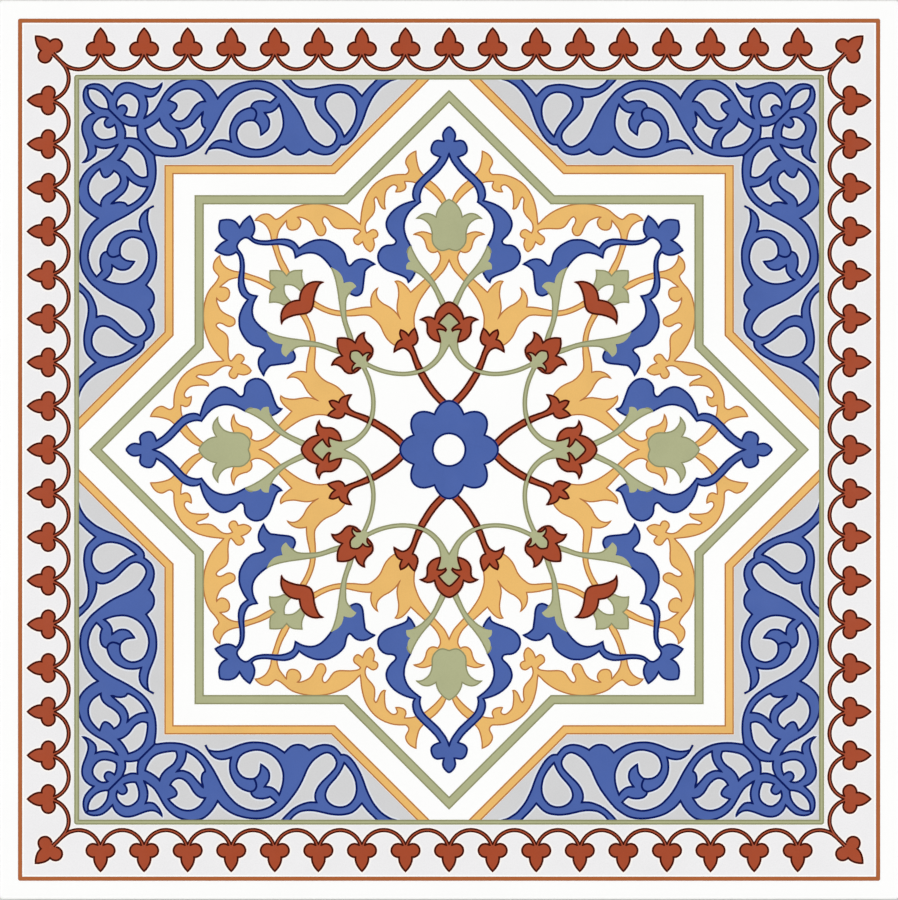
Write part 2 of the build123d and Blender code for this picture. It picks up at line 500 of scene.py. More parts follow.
def smooth_line(points, spacing=1.6):
    """A centripetal Catmull-Rom curve through the points, sampled about once a spacing.
    Beyond its two ends the line is taken to go on turning as it did beside them.
    Two points alone give a straight run, sampled three times as widely."""
    z = np.asarray(points, float) @ (1, 1j)
    if len(z) == 2:
        return z[0] + (z[1] - z[0]) * np.linspace(0, 1, max(2, int(abs(z[1] - z[0]) / (3 * spacing)) + 1))
    first_turn = (z[1] - z[0]) / (z[2] - z[1])
    last_turn = (z[-1] - z[-2]) / (z[-2] - z[-3])
    before = z[0] - (z[1] - z[0]) * first_turn / abs(first_turn)
    after = z[-1] + (z[-1] - z[-2]) * last_turn / abs(last_turn)
    z = np.concatenate([[before], z, [after]])
    knot = np.concatenate([[0], np.cumsum(np.sqrt(abs(np.diff(z))))])
    a, b, c, d = z[:-3], z[1:-2], z[2:-1], z[3:]
    ka, kb, kc, kd = knot[:-3], knot[1:-2], knot[2:-1], knot[3:]
    leave = (kc - kb) * ((b - a) / (kb - ka) - (c - a) / (kc - ka)) + (c - b)
    arrive = (kc - kb) * ((d - c) / (kd - kc) - (d - b) / (kd - kb)) + (c - b)
    counts = np.maximum(2, np.ceil(abs(c - b) / spacing)).astype(int)
    span = np.repeat(np.arange(len(b)), counts)
    t = (np.arange(len(span)) - np.repeat(np.cumsum(counts) - counts, counts)) / counts[span]
    line = (2 * t**3 - 3 * t**2 + 1) * b[span] + (t**3 - 2 * t**2 + t) * leave[span]
    line += (3 * t**2 - 2 * t**3) * c[span] + (t**3 - t**2) * arrive[span]
    return np.append(line, z[-2])


def drawn(strokes, closed=True):
    """An outline: each stroke runs smoothly through its points from its own corner to the next stroke's."""
    corners = [stroke[:1] for stroke in strokes[1:]] + [strokes[0][:1] if closed else []]
    runs = [stroke + corner for stroke, corner in zip(strokes, corners)]
    lines = [smooth_line(run)[:-1] for run in runs if len(run) > 1]
    if not closed:
        lines.append(np.array(strokes[-1][-1:], float) @ (1, 1j))
    return np.concatenate(lines)


def on_axis(point):
    """The mirror image of a point in the upright axis."""
    return -point[0], point[1]


def on_diagonal(point):
    """The mirror image of a point in the diagonal that rises to the right."""
    return point[1], point[0]


def mirrored(half, mirror, smooth_first=False, smooth_last=False):
    """A whole outline from the half that runs from the mirror line back to it, smooth at an end or not."""
    marks = [(point, place == 0) for stroke in half for place, point in enumerate(stroke)]
    marks[0] = (marks[0][0], not smooth_first)
    marks[-1] = (marks[-1][0], not smooth_last)
    marks += [(mirror(point), corner) for point, corner in marks[-2:0:-1]]
    start = next(place for place, (point, corner) in enumerate(marks) if corner)
    strokes = []
    for point, corner in marks[start:] + marks[:start]:
        if corner:
            strokes.append([])
        strokes[-1].append(point)
    return strokes


lily_edge = drawn(mirrored(lily_half, on_axis))
vine_edge = drawn(vine)
yellow_fills = around([plate([lily_edge], *yellow_lay)]) + around([plate([vine_edge], *yellow_lay)], True)
piece("lilies_and_vine", yellow_fills, yellow)
yellow_lines = around([bead(lily_edge, edge_width, yellow_line)])
yellow_lines += around([bead(vine_edge, edge_width, yellow_line)], True)
piece("lily_and_vine_edges", yellow_lines, yellow_edge)

# Blue is the main colour: bell-shaped leaves on the axes and the diagonals, with a bud or a flower on each
# stem, and a broad scroll in each grey corner. Cobalt enamel fills them up to a strong navy line,
# and round the scroll a thin paler rim stays where the ground glaze was scraped back.
blue_tint, navy_tint = (72, 98, 168), (0, 22, 92)
rim_tint = (225, 229, 237)
dry_gloss, dry_shine = (0.5, 0.6), 0.06  # the dark lines fire dry, with hardly any skin of glass
navy_width, crease_width = 2.25, 2.3
leaf_line_inset = 0.25  # the leaves' lines are laid a little inside their outlines
scroll_core, crease_core = 0.8, 0.85  # share of the line at its full thickness
rim_width, rim_top = 6.4, 0.03
blue_lay, blue_line = (0.065, 0.015), 0.095
axis_leaf_half = [
    [(0, 322.9), (3.2, 320.8), (5.6, 317.6), (6.4, 314.4), (6, 311.5)],
    [(5.3, 308.6), (8.1, 308.9), (11.3, 309.4), (14.5, 308.3), (16.8, 305.3), (17.9, 301.6), (17.7, 298),
     (15.3, 295.2), (12.3, 293.8)],
    [(8.9, 292.7), (10.9, 289.8), (13.5, 286), (17.3, 281.9), (22, 277.4), (25.6, 274.1), (29.2, 270.4),
     (32.9, 266.3), (35.4, 261.1), (36.3, 256), (35.9, 252.1)],
    [(34.2, 249), (40, 247.6), (46, 245.4), (52.8, 241.5), (58.5, 236.1), (62.1, 230), (62.9, 224.6),
     (61.2, 218.7), (57.7, 213.8), (54.3, 210.6), (53.1, 208.3), (54.4, 205.8), (57.9, 204.7),
     (62.4, 204.4), (66.6, 202.3), (69.9, 198.2), (71.2, 193.5), (70.3, 187.9), (67.1, 183.3),
     (62.2, 179.6), (56.1, 177.2), (50.1, 175.1), (45, 173), (42.1, 170.9)],
    [(41, 167), (38.5, 169.4), (36.1, 172.9), (34.1, 177.6)],
    [(36, 185)],
    [(38.2, 203.5), (40.6, 207.9), (42.9, 212.7), (44.6, 218.9), (44.9, 225.1), (43.5, 231),
     (40.8, 236.4), (36.4, 241.4), (32, 245)],
    [(28.4, 247.6), (29.2, 251.7), (28.7, 255.9), (26.9, 261.1), (23.8, 265.5), (19.5, 269.5),
     (14.6, 274.1), (10, 278.6), (6.7, 282.9), (3.4, 287.5), (1.1, 292.3)],
    [(0, 296.4)],
]
diagonal_leaf_half = [
    [(209, 209), (207.3, 210.3), (204.1, 211.9), (200.9, 211.3), (198.3, 209.4), (194.6, 207),
     (189.9, 205.5), (184, 204.9), (177, 205.1), (170.1, 205.4), (164.3, 204.5), (159.4, 202.6),
     (156.4, 200.4), (154.8, 197.1)],
    [(153.9, 191.5), (150.4, 193.7), (145.9, 195.7), (139, 196.8), (133.1, 195.9), (128.7, 193.7),
     (124.2, 189.8), (120.9, 186)],
    [(118.2, 182.3)],
    [(108, 170)],
    [(99.4, 156.5), (96.1, 154.6), (93.1, 153.8), (89.9, 154.6), (87.8, 156.4), (86.4, 159.8),
     (85.8, 163.8), (85.3, 169.2), (84.6, 174.4), (83.9, 178.8), (81.7, 181.3), (78.1, 183.9)],
    [(73.9, 185.4), (77.5, 187.6), (82, 189.9), (86.8, 190.8), (91.9, 189.9), (95.2, 187.7), (97.6, 185),
     (99.6, 184), (101.4, 185.6), (102.8, 189), (103.5, 192.9), (104.6, 196.6), (107.3, 200.4),
     (111.4, 204.1), (116.3, 207.1), (121.4, 209.3), (127.6, 210), (133.9, 209.6), (139.9, 207.6),
     (145, 205)],
    [(150.1, 201.3), (152, 204.3), (155, 207.5), (159.2, 209.6), (164.1, 210.6), (169.3, 210.5),
     (174.1, 210), (180, 209), (186.2, 208.8), (190.9, 209.3), (194.9, 210.6)],
    [(197.4, 213.2), (195.6, 216), (194.5, 219.6), (194.7, 224.1), (196.1, 228.3), (197.8, 231.6)],
    [(199.2, 233.9), (202.2, 231.8), (205.9, 228.3), (208.3, 224.7)],
    [(209.5, 221.9), (210.6, 224.4), (213.3, 227.6), (216.8, 229.5), (221, 230.2), (225.6, 229.9)],
    [(229, 229)],
]
scroll_half = [
    [(363, 363), (358.3, 365.2), (352.7, 365.6), (347.2, 364.3), (343.1, 361.7), (339.2, 358)],
    [(336.4, 354.9), (334.9, 359.3), (331.7, 363.2), (326.8, 366.2), (321.3, 367), (315.4, 366.1),
     (309.1, 363.8), (303.1, 361.7), (297.8, 360.7), (293.6, 361.4), (289.8, 363.5)],
    [(287, 366.7), (289.2, 360.7), (292.2, 356.6), (295.3, 353.8), (300, 352.9)],
    [(304, 354), (302.3, 350), (301.5, 345), (301.9, 340.3), (303.4, 335.3)],
    [(305.4, 331), (299.9, 334.7), (295.1, 338.6), (291.3, 343.9), (287.9, 350.1), (284, 356.6),
     (279.6, 361.6), (274.8, 365.4), (268, 368.7), (258, 370.7), (247.4, 369), (241.7, 365.3),
     (237.1, 360.4), (233.8, 355.6)],
    [(231.4, 350.7), (227.5, 355.8), (221.7, 360.5), (215.6, 364.1), (208, 366.7), (200.2, 368.3),
     (192, 368.8), (185, 368.2), (178.3, 366.2), (172.6, 362.8), (167, 358.7), (162.1, 353.4),
     (157.3, 347.4), (152.6, 340.9), (148.3, 333.5), (145.1, 326.6), (142.4, 320.2), (140, 316),
     (136.1, 310.8), (131.4, 306.9), (126.4, 303.9), (122.3, 302.8), (119, 303.5), (115.4, 306.2),
     (113.1, 310), (112.4, 313.5), (113.6, 317.9), (116.9, 322.2), (121.4, 326.9), (127, 332.4),
     (130.9, 337.4), (133.1, 342.2), (133.9, 346.3), (133.5, 350)],
    [(132.2, 352.9), (136, 352.6), (140.4, 352.8), (146, 354.3), (151.7, 356.8), (156.7, 360),
     (160.4, 363.4), (164, 367)],
    [(168, 371.8)],
    [(159.9, 371.8), (155.9, 366.3), (152.5, 363.7), (148.4, 361.6), (142.3, 360.6), (137, 360.6),
     (131, 361.5), (124.1, 363.1), (117, 364.5), (110, 365), (103.4, 364.4), (98.1, 363), (93.9, 360.4),
     (90.7, 357.2)],
    [(87.2, 353.4), (82.9, 358.9), (79.3, 362.9), (75.5, 366.6)],
    [(70.6, 371.8)],
    [(49.5, 371.8), (54.2, 370.4), (58.4, 369.1), (63.3, 366.3), (67.9, 363), (72.5, 358), (76.5, 352.6),
     (79.4, 347.2), (82.4, 340.7), (84.8, 333.9), (86.6, 329), (89.3, 322.8), (92.5, 317), (95, 313),
     (99.3, 308.1), (103, 305.5), (105.7, 305)],
    [(108.1, 305.1), (111, 301.3), (114.3, 298), (118.8, 295.9), (124, 295.1), (130, 295.9),
     (135.7, 297.9)],
    [(140, 300.4), (142.6, 298), (146.1, 295.9), (150.2, 295), (155, 295.5), (158.8, 297.3),
     (162, 300.3)],
    [(164.6, 303.1), (168, 300.6), (173.5, 297.3), (179, 295), (185, 293.4), (193, 292.7), (200.1, 293),
     (208.1, 294.9), (214.5, 297.3), (220, 299.6), (226, 301.2), (231.7, 301.8), (236.2, 301.5),
     (238.6, 301)],
    [(240.3, 300.2), (238.6, 303.8), (235.3, 307), (230.9, 309.1), (226, 309.6), (221.8, 308.9)],
    [(217.6, 307.4), (218.8, 311.7), (219.2, 317.7), (218.5, 323.7), (216.3, 329.2), (212.7, 334.6),
     (208, 338.5), (203, 340.8)],
    [(198, 341.9), (197, 345.2), (194.2, 347.6), (190.7, 348.6), (186.7, 348.8), (183, 348.3)],
    [(179.1, 346.9), (175.9, 349.5)],
    [(172.9, 352.6), (176.4, 355.4), (180, 357.7), (185.6, 359.8), (192.3, 361.1), (198.4, 360.6),
     (205.4, 358.4), (212.3, 354.6), (217.6, 349.6), (222, 344.5), (226.8, 337.2), (231, 329.1),
     (235.6, 320.6), (240.5, 313), (245.3, 306.6), (251.3, 301.1), (258.3, 297.3), (264.8, 294.9),
     (272, 293.6), (281, 293.3), (287, 293.8), (292, 294.5)],
    [(294.5, 294.5)],
]
diamond_half = [
    [(310.2, 310.2), (311.3, 315), (311.7, 319.8)],
    [(311.4, 324.3), (315, 323.7), (319.2, 324), (323, 325.4)],
    [(327.2, 327.2)],
]
leaf_loop_half = [
    [(340.6, 340.6), (341, 345.8), (342.5, 350.6), (345.5, 355), (349.6, 358.6), (355, 360.9)],
    [(360.9, 360.9)],
]
teardrop_opening = [
    [(105, 312.7), (101.1, 317.2), (97.1, 322.7), (94.1, 328.8), (92.6, 335.7), (92.6, 341.7),
     (94.2, 347.5), (96.9, 351.8), (100.7, 355.3), (104.7, 357), (108, 357.5), (113.2, 357),
     (118.3, 354.7), (122, 351), (123.7, 346.7), (123.3, 342.4), (121.3, 337.6), (117.7, 332.8),
     (114, 328.7), (110.7, 324.4), (107.7, 319.4)],
]
spiral_opening = [
    [(169.9, 345.7), (168.6, 341.8), (166.7, 335.9), (165.7, 329), (165.9, 323), (167.7, 317),
     (170.3, 312), (173.7, 308), (178.2, 304.4), (184.7, 301.4), (190, 300.2), (195.3, 300.3),
     (200.7, 301.5), (206, 303.9), (209.7, 307.3), (211.8, 312), (212.5, 317), (210.9, 322.2),
     (207.3, 326.5), (203, 328.7), (199, 329.2), (195.1, 328.9), (192.9, 327.7), (190.8, 325.5),
     (189.1, 322.4), (188.4, 318.4)],
    [(188.2, 314.5), (185, 317), (181.9, 319.7), (180.3, 322.7), (179.8, 326), (180.3, 330.1),
     (182.4, 333.9)],
    [(185, 337.2), (181.7, 337.1), (178.2, 337.7), (174.6, 339.7), (171.4, 342.9)],
]
kite_opening = [
    [(245.9, 338), (249.1, 334.4), (253, 330), (257, 325.4), (261.3, 322.6), (266, 321.1), (270, 321.3)],
    [(273, 322.3), (269.3, 318.8), (266.3, 314.8), (264, 309.9), (263.1, 305.3)],
    [(263, 301.3), (258.7, 303.7), (253.6, 307.2), (249.3, 311.6), (245.7, 316.8), (244.1, 320.2)],
    [(243.9, 321.8), (246.3, 323.7), (247.4, 327.7), (247.3, 331.8), (246.3, 335.5)],
]
bell_opening = [
    [(243.4, 348), (245.9, 351.8), (249.2, 356.1), (253.9, 359.3), (259, 360.8), (265.2, 360.5),
     (271.2, 358.2), (276.4, 354.2)],
    [(281, 349.3), (276.8, 347.9), (273.4, 346.2), (272.2, 344), (273.3, 340.7), (276.3, 337.3)],
    [(279, 335.4), (277.7, 333), (275, 330.1), (270.3, 328.4), (266, 329.4), (261.8, 332.6),
     (258.5, 336.8), (255.7, 341.5), (252.1, 345.5), (247.7, 347.9)],
]
fan_opening = [
    [(289.4, 331.3), (288.4, 327.3), (285.7, 322.9), (282, 319.2), (278.7, 316.9), (275.7, 314.4),
     (273.6, 311.4), (272, 306.9)],
    [(273.2, 301.7), (276.7, 301.4), (281.1, 301.8), (285.9, 302.6), (291.6, 304.2), (296.1, 306.9),
     (299.6, 310.7), (302.3, 315.6)],
    [(303.9, 320.9), (300.1, 322.6), (295.7, 325.2), (291.5, 328.5)],
]
hook_opening = [
    [(313.3, 332.6), (311.3, 336.8), (310, 342.8), (310.3, 348), (312.3, 351.8), (315.6, 354.6),
     (319.4, 356.4), (323.9, 356.4), (328.2, 353.8), (331.3, 350.3), (332.7, 346.3)],
    [(331.8, 340.9), (329.9, 343.3), (326.7, 344.6), (323.9, 343.7), (322.1, 341.2), (322.7, 338.1)],
    [(325.2, 334.5), (321.4, 333.1), (317, 332.4)],
]
bud_crease = [[(198, 341.9), (194.5, 340.2), (192.8, 337.3), (192.9, 334), (195.1, 329)]]
leaf_flick = [[(238.4, 304.2), (240.2, 301.7), (241.7, 299.1), (242.9, 296.9), (243.7, 295.2)]]
scroll_creases = [
    [(294.5, 294.5), (310.6, 310.6)],
    [(326.5, 326.5), (340.6, 340.6)],
    [(360.6, 360.6), (363, 363)],
]

blue = enamel("blue_enamel", blue_tint)
navy = enamel("navy_line_enamel", navy_tint, blue_tint, gloss=dry_gloss, shine=dry_shine)
pale_rim = enamel("scraped_rim_glaze", rim_tint, grey_tint, gloss=ground_gloss, thin=0.985, thick=1.01)
axis_leaf_edge = drawn(mirrored(axis_leaf_half, on_axis, True, False))
diagonal_leaf_edge = drawn(mirrored(diagonal_leaf_half, on_diagonal, True, False))
leaf_edges = [axis_leaf_edge, diagonal_leaf_edge]
leaf_fills = [plate([edge], *blue_lay) for edge in leaf_edges]
piece("blue_leaves", around(leaf_fills), blue)
leaf_lines = [bead(edge, navy_width, blue_line, inset=leaf_line_inset) for edge in leaf_edges]
piece("blue_leaf_lines", around(leaf_lines), navy)
scroll_openings = [teardrop_opening, spiral_opening, kite_opening, bell_opening, fan_opening, hook_opening]
scroll_edges = [drawn(mirrored(half, on_diagonal)) for half in (scroll_half, diamond_half, leaf_loop_half)]
for opening in scroll_openings:
    scroll_edges += [drawn(opening), 1j * drawn(opening).conj()]
piece("corner_scrolls", around([plate(scroll_edges, *blue_lay)]), blue)
creases = [drawn([crease], closed=False) for crease in scroll_creases]
for inner_line in (bud_crease, leaf_flick):
    creases += [drawn(inner_line, closed=False), 1j * drawn(inner_line, closed=False).conj()]
scroll_lines = [bead(crease, crease_width, blue_line, closed=False, core=crease_core) for crease in creases]
scroll_lines += [bead(edge, navy_width, blue_line, core=scroll_core) for edge in scroll_edges]
piece("corner_scroll_lines", around(scroll_lines), navy)
scroll_rims = [bead(edge, rim_width, rim_top) for edge in scroll_edges]
piece("corner_scroll_rims", around(scroll_rims), pale_rim)

# The middle of the drawing is a blue rosette with a white eye; eight red stems spring from behind it,
# each ending in a three-lobed calyx that holds a lily. The red is an iron enamel inside a dark brown line.
red_tint, umber_tint = (166, 71, 38), (60, 12, 2)
umber_width = 2.2
umber_inset = 0.3
rosette_notch, rosette_lobe, eye_radius = 38.4, 10.7, 16.4
rosette_points, rosette_inset = 240, 0.3
red_stem = [
    [(1, 47), (7.6, 53.5), (13.1, 59.7), (19.2, 68.4), (24.7, 77.7), (30.6, 89.6), (33.7, 97.9)],
    [(36.2, 104.1), (33.1, 105.8), (31.1, 110), (32, 115.8)],
    [(34.2, 121.6), (37.7, 118.6)],
    [(40.5, 114.1), (43.4, 117.6)],
    [(48.4, 120), (49.5, 116.4), (48.6, 112.9)],
    [(47.3, 110.3), (50.9, 108.7), (53.5, 104.9)],
    [(55.2, 97.3), (51, 99.9), (46, 101.5), (41.1, 99.1), (38, 94.6), (35.6, 87.7), (31.2, 76.2),
     (26.8, 68.4), (21.2, 59.5), (15.4, 52.2)],
    [(6.8, 43.7)],
]
rosette_lay, rosette_line = (0.1, 0.015), 0.13
red = enamel("red_enamel", red_tint)
umber = enamel("umber_line_enamel", umber_tint, red_tint, gloss=dry_gloss, shine=dry_shine)
red_stem_edge = drawn(red_stem)
piece("red_stems", around([plate([red_stem_edge], *blue_lay)], True), red)
red_stem_line = bead(red_stem_edge, umber_width, blue_line, inset=umber_inset)
piece("red_stem_lines", around([red_stem_line], True), umber)
turn = np.linspace(0, 2 * np.pi, rosette_points, endpoint=False)
rosette_edge = (rosette_notch + rosette_lobe * abs(np.cos(4 * turn))) * np.exp(1j * turn)
eye_edge = eye_radius * np.exp(1j * turn[::3])
piece("rosette", [plate([rosette_edge, eye_edge], *rosette_lay)], blue)
lobe_line = bead(rosette_edge, navy_width, rosette_line, inset=rosette_inset)
eye_line = bead(eye_edge, navy_width, rosette_line)
piece("rosette_lines", [lobe_line, eye_line], navy)

# Pale green stems lie over the red and the yellow ones: a ring round the rosette, caps that hold the blue
# leaves, a tulip on each axis and a small open flower on each diagonal. They are green enamel with a
# slightly darker edge. Where a cap lies on a blue leaf it has no line of its own.
ring_half = [
    [(0, 104.7), (3.2, 98.8), (6.4, 93.5), (10, 88.9), (14.5, 84.4), (20, 80.4), (27, 77.1), (34.1, 75.1),
     (41.1, 74.2), (48, 74), (56, 74.7), (64, 76.3), (72, 78.7), (80, 82.3)],
    [(86, 85.5)],
    [(85.5, 89.5)],
    [(80, 86.2), (72, 82.6), (64.8, 80.1), (57.1, 78.4), (49.1, 77.5), (42.1, 77.6), (35, 78.8),
     (28.4, 80.8), (22.3, 83.8), (17.3, 87.8), (13.2, 92.3), (10.5, 96.8), (8.9, 102.5)],
    [(8.6, 107.3)],
    [(11, 112)],
    [(13, 121)],
    [(10, 131)],
    [(0, 139)],
]
axis_cap = [
    [(3.2, 144.9), (4.6, 148.1), (7.7, 154.4), (11.6, 161.8), (15.6, 168.9), (19.7, 174.5), (24.3, 179.8),
     (28.7, 185.5), (32.6, 191.5), (36, 197.9)],
    [(38.3, 203.3), (39.8, 202.2), (41.4, 199.4), (41.6, 195.2), (40.7, 191)],
    [(38.6, 188.3), (42, 186.1), (42.9, 182.9)],
    [(42.7, 180.3), (39, 179.9), (35.5, 178.9), (28.6, 175.1), (23.7, 170.7), (19.1, 165.9), (15, 159.6),
     (11.5, 152.1), (8.7, 145.5)],
    [(7, 141)],
]
diagonal_cap = [
    [(95.6, 108), (98.3, 117), (101, 124), (102.9, 131), (103.6, 140), (103.2, 150.3), (102, 153.7),
     (99.5, 156.9), (96.7, 159.9)],
    [(92.7, 163), (94.5, 165.6), (96.8, 167.3), (100, 167.8), (103, 167.2)],
    [(105.4, 166.5), (106.1, 170.3), (107.6, 174.4), (110, 177.4), (113, 179.8), (116, 181.4)],
    [(118, 182.2), (116.2, 178.6), (114.6, 174.1), (113.1, 169), (112, 163.6), (111, 158.2), (110, 150.4),
     (109.1, 144.1), (108.1, 137.1), (106.1, 128.1), (103.6, 120.1)],
    [(99.6, 108)],
]
tulip_half = [
    [(0, 250.4), (3.6, 248.5), (6.8, 245.8), (10.2, 241.4), (12.2, 237)],
    [(13, 232.5), (17, 235), (22, 236.3), (27, 235.3), (30, 233.3)],
    [(33, 231), (28, 231), (23.4, 228.6), (19.8, 225.1), (17.8, 220.6), (17, 216), (17, 210), (16, 206),
     (13.5, 202.5), (10.5, 200), (7, 199), (3, 199.7)],
    [(0, 200.7)],
]
open_flower_half = [
    [(179.1, 179.1), (176.1, 179.3), (172.2, 179.3), (168.5, 178.9)],
    [(166.2, 178.3)],
    [(162.4, 173.7), (160.2, 176.5), (157.9, 178.1), (155, 179.1), (150.2, 179.4)],
    [(146.8, 179.7), (147.4, 176.5), (147.3, 173), (146.5, 169.4)],
    [(144.8, 165.8)],
    [(146, 157)],
    [(149.3, 159.2), (152.8, 162.3), (156.2, 164.2), (160, 164.9), (163.2, 164.8)],
    [(164.6, 164.6)],
]
ring_crossings = [[[(26, 82), (29.3, 80.7), (32.7, 79.7)]], [[(24.6, 78), (27.7, 76.7), (31, 75.8)]]]
green_lay, green_line = (0.1, 0.015), 0.13
crossing_width, crossing_line = 1.9, 0.15  # the red stem's own line, drawn on over either edge of the ring
green_inset = 0.2
ring_edge = drawn(mirrored(ring_half, on_axis))
tulip_edge = drawn(mirrored(tulip_half, on_axis, False, True))
open_flower_edge = drawn(mirrored(open_flower_half, on_diagonal))
cap_edges = [drawn(axis_cap), drawn(diagonal_cap)]
green_edges = [ring_edge, tulip_edge, open_flower_edge]
green_fills = around([plate([edge], *green_lay) for edge in green_edges])
green_fills += around([plate([edge], *green_lay) for edge in cap_edges], True)
piece("green_stems_and_flowers", green_fills, green)
green_lines = around([bead(edge, edge_width, green_line, inset=green_inset) for edge in green_edges])
cap_runs = [  # the first three stop a few points short of the blue leaf
    drawn(axis_cap[:2], closed=False)[:-4],
    drawn(axis_cap[3:], closed=False)[6:],
    drawn(diagonal_cap[:1], closed=False)[:-2],
    drawn(diagonal_cap[3:], closed=False),
]
green_lines += around([bead(run, edge_width, green_line, closed=False) for run in cap_runs], True)
piece("green_edges", green_lines, green_edge)
crossing_runs = [drawn(crossing, closed=False) for crossing in ring_crossings]
crossing_lines = [bead(run, crossing_width, crossing_line, closed=False) for run in crossing_runs]
piece("ring_crossing_lines", around(crossing_lines, True), umber)

# Red flowers are laid last, over the ends of the stems: a crown on each axis, a lily on each diagonal,
# and a pair of leaves further out. The lily sits in a small green calyx with the same dark line.
crown_half = [
    [(0, 147.8), (3.7, 146.7), (7.8, 143.8), (11.1, 140.1), (13.4, 135.8)],
    [(14.5, 130.7), (18, 132.5), (21.6, 132.9), (25.2, 131.8)],
    [(29.3, 129.8), (24.8, 128.6), (22.4, 126), (22, 122.4), (22, 118.2), (20.5, 114.4), (17.3, 110.8),
     (13.4, 108.7)],
    [(8.5, 107.5), (9.2, 112.2), (10.5, 116.2)],
    [(11.8, 119.8), (8.4, 120.1), (5.3, 119.4)],
    [(3.4, 118.3)],
    [(2.6, 120.1), (4, 122.1), (6.4, 124.1)],
    [(10.2, 126.4), (7.8, 129.6), (4.8, 132.8), (2.1, 135.2), (0, 136.2)],
]
red_lily_half = [
    [(111.5, 111.5), (108.5, 111.9), (104.1, 111.8), (99.1, 110.6), (95.9, 108.8)],
    [(93.8, 106.8), (92.7, 110.4), (90.4, 113.9), (87.8, 116)],
    [(84.3, 117.6), (85, 114.1), (84.3, 111), (81.9, 107.3), (78.3, 104.3), (76.2, 100.8), (76.2, 96.9),
     (77.6, 93.1), (80, 90.2)],
    [(82, 88)],
    [(85, 85)],
]
calyx_half = [
    [(98, 98), (94.2, 99), (91.1, 98.7), (88.1, 96.5)],
    [(86.4, 94), (83.6, 96.4), (80.8, 97.1)],
    [(77.4, 96), (80.1, 94.8), (81.7, 92.6), (82, 90.5)],
    [(81.6, 88.1)],
    [(80.8, 85)],
    [(82, 82)],
]
leaf_pair_half = [
    [(149.7, 149.7), (149.5, 151.6), (148.8, 155.6), (147.1, 160), (143.5, 164.2), (139, 167),
     (133.9, 168.2), (129.5, 168)],
    [(125.6, 167.5), (129.1, 165.8), (131.6, 162), (133.5, 157.3), (134.8, 152), (135.4, 147.1),
     (136.1, 143.3), (137.3, 140.4), (138.6, 138.6)],
]
flower_lay, flower_line = (0.135, 0.015), 0.165
calyx_lay, calyx_line = (0.17, 0.015), 0.2
crown_edge = drawn(mirrored(crown_half, on_axis, True, True))
red_lily_edge = drawn(mirrored(red_lily_half, on_diagonal))
leaf_pair_edge = drawn(mirrored(leaf_pair_half, on_diagonal, False, True))
flower_edges = [crown_edge, red_lily_edge, leaf_pair_edge]
flower_fills = [plate([edge], *flower_lay) for edge in flower_edges]
piece("red_flowers", around(flower_fills), red)
flower_lines = [bead(edge, umber_width, flower_line, inset=umber_inset) for edge in flower_edges]
calyx_edge = drawn(mirrored(calyx_half, on_diagonal))
calyx_side = drawn(calyx_half[:4], closed=False)
calyx_run = np.concatenate([1j * calyx_side[:0:-1].conj(), calyx_side])
flower_lines.append(bead(calyx_run, umber_width, calyx_line, closed=False))
piece("red_flower_lines", around(flower_lines), umber)
piece("lily_calyxes", around([plate([calyx_edge], *calyx_lay)]), green)

# The border is a row of red trefoils, seventeen to a side and one on each corner, hung on scalloped stems.
# Each is drawn with a dark brown line and filled with red enamel, and a thin white rim was left round it
# on the pale grey ground.
white_rim_tint = (252, 249, 244)
trefoil_pitches = (43.57, 43.66)  # along the top and bottom, and along the two sides
trefoils_each_way = 8
corner_reach = 163.3
scallop_middle, scallop_radius = 402.0, 21.6
scallop_points, upright_points = 40, 9
stem_width, stem_core_width = 4.5, 1.25
stem_end, core_end = 17.0, 6.0  # degrees below the level: the core runs on into the trefoil
trefoil_line_width, trefoil_rim_width, stem_rim_width = 2.2, 6.4, 9.0
trefoil_half = [
    [(0, 421.4), (2.7, 418.4), (5.1, 414.5), (6.3, 410.6)],
    [(6.3, 407.3), (8.4, 407.3), (10.9, 406.3), (13.3, 403.9), (14.1, 400.6), (13.2, 397.5), (10.8, 395),
     (7.4, 394.1), (4.9, 394.6)],
    [(3, 395.4)],
    [(0, 394)],
]
corner_arm = [[(378.2, 381.8), (380.7, 382.8), (383, 384.1), (385.1, 385.7), (387, 387.3)]]
corner_stem_start, corner_stem_end, corner_core_end = 386.2, 396.2, 398.5
corner_scallop_end = 284  # degrees, where the last scallop goes over into a corner's arm
upright_swell, upright_lift = 0.2, 0.004  # the stem on the diagonal is drawn a little fuller, over the arms
trefoil_lay, trefoil_line = (0.06, 0.015), 0.09
stem_top, stem_core, stem_core_top = 0.08, 0.88, 0.11


def shifted(shape, by):
    """The same shape moved across the face."""
    return (shape[0] + by, *shape[1:])


def scallop(middle, start, end):
    """An arc of the scalloped stem between two turns, in degrees, about a middle along the border."""
    turn = np.radians(np.linspace(start, end, scallop_points))
    return middle + 1j * scallop_middle + scallop_radius * np.exp(1j * turn)


def border(trefoil, corner_shapes, stem, corner_arms):
    """The shapes of the border set out along all four sides: trefoils, what stands on a corner, scallops and
    corner arms, each row at its own side's pitch and turned a quarter from the one before."""
    shapes = around(corner_shapes)
    places = np.arange(-trefoils_each_way, trefoils_each_way + 1)
    for quarter in range(4):
        pitch = trefoil_pitches[quarter % 2]
        row = [shifted(trefoil, pitch * place) for place in places] if trefoil else []
        row += [shifted(stem, pitch * (place + 0.5)) for place in places[:-1]] if stem else []
        shapes += around(row)[quarter::4]
        shapes += around([corner_arms[quarter % 2]], True)[quarter::4] if corner_arms else []
    return shapes


